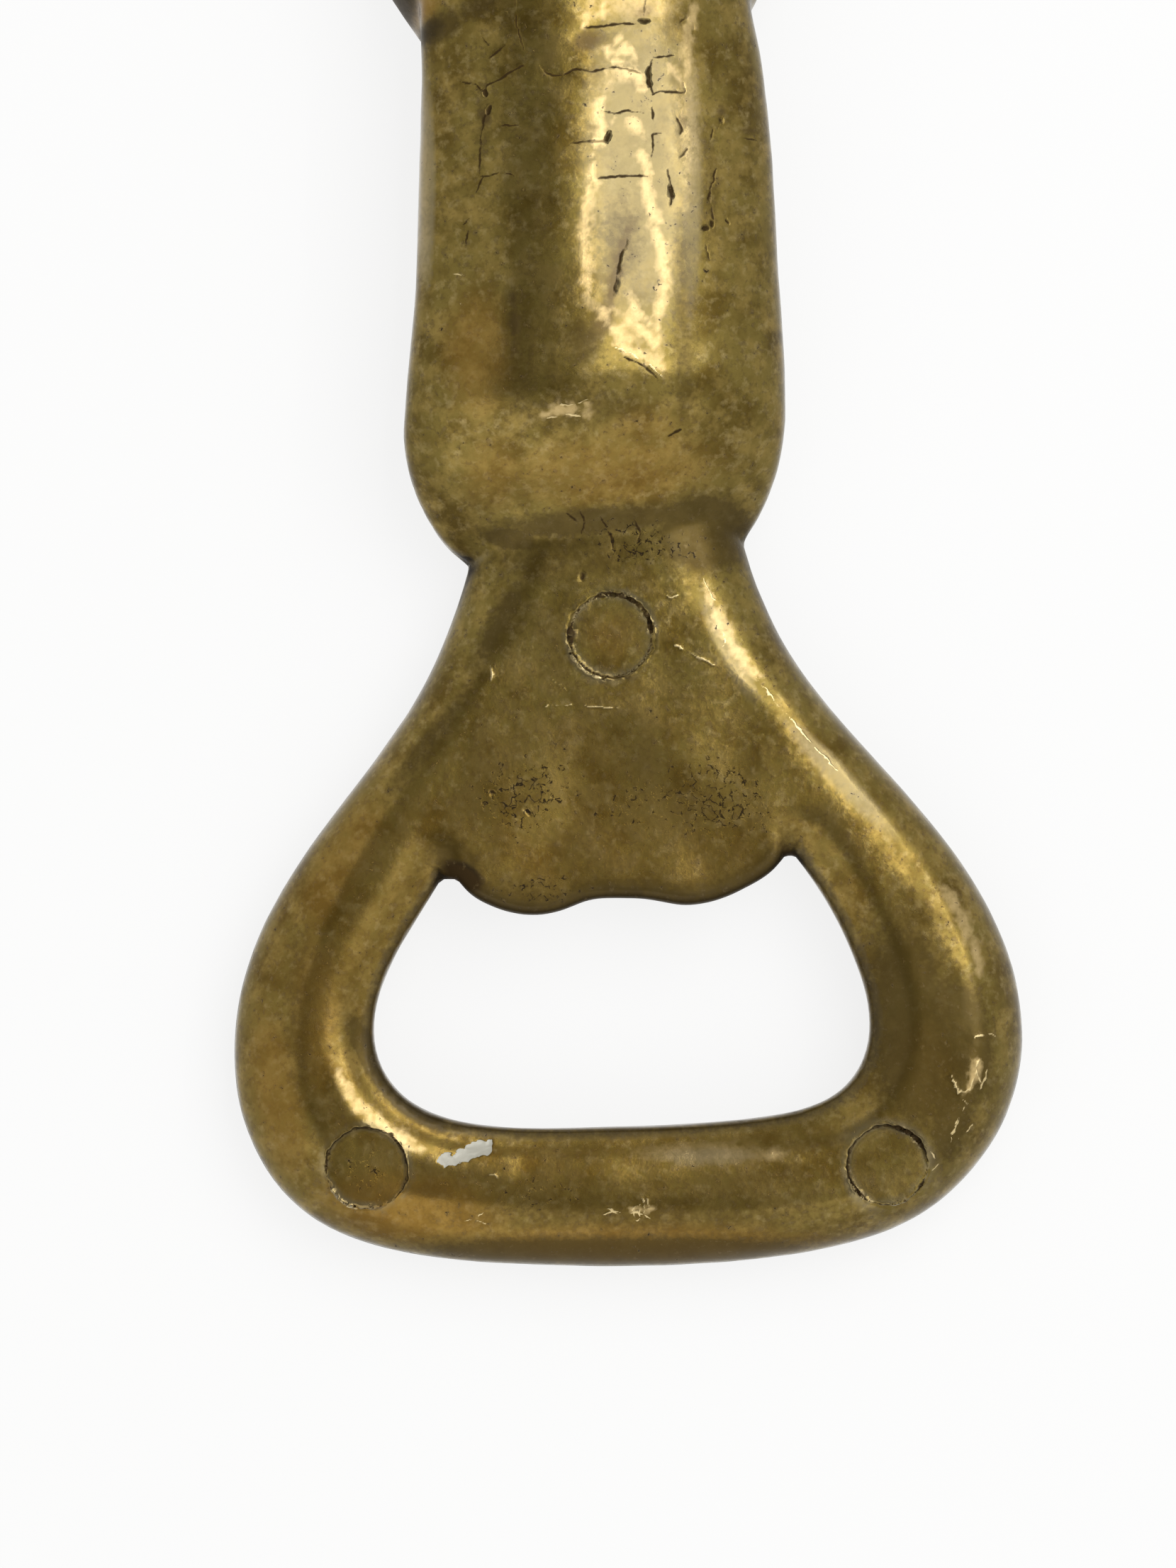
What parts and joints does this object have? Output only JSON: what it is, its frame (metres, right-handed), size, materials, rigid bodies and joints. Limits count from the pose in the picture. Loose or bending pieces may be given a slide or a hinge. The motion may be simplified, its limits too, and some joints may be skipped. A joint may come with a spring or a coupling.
{
  "type": "bottle opener",
  "caption": "Cast souvenir bottle opener: a rounded triangular loop with a prying lip, on a handle shaped as an oval stone tower.",
  "frame": {"origin": "middle of the footprint of the opener, on the surface that it lies on", "axes": "+X across the loop, +Y from the loop's far bar to the tower's battlements, +Z out of the back face"},
  "size_m": [0.047, 0.092, 0.0126],
  "materials": {
    "aged_brass": "brass plating, satin where it is worn and brown with age in its hollows"
  },
  "bodies": {
    "root": {"opener_casting": "aged_brass"}
  },
  "joints": []
}
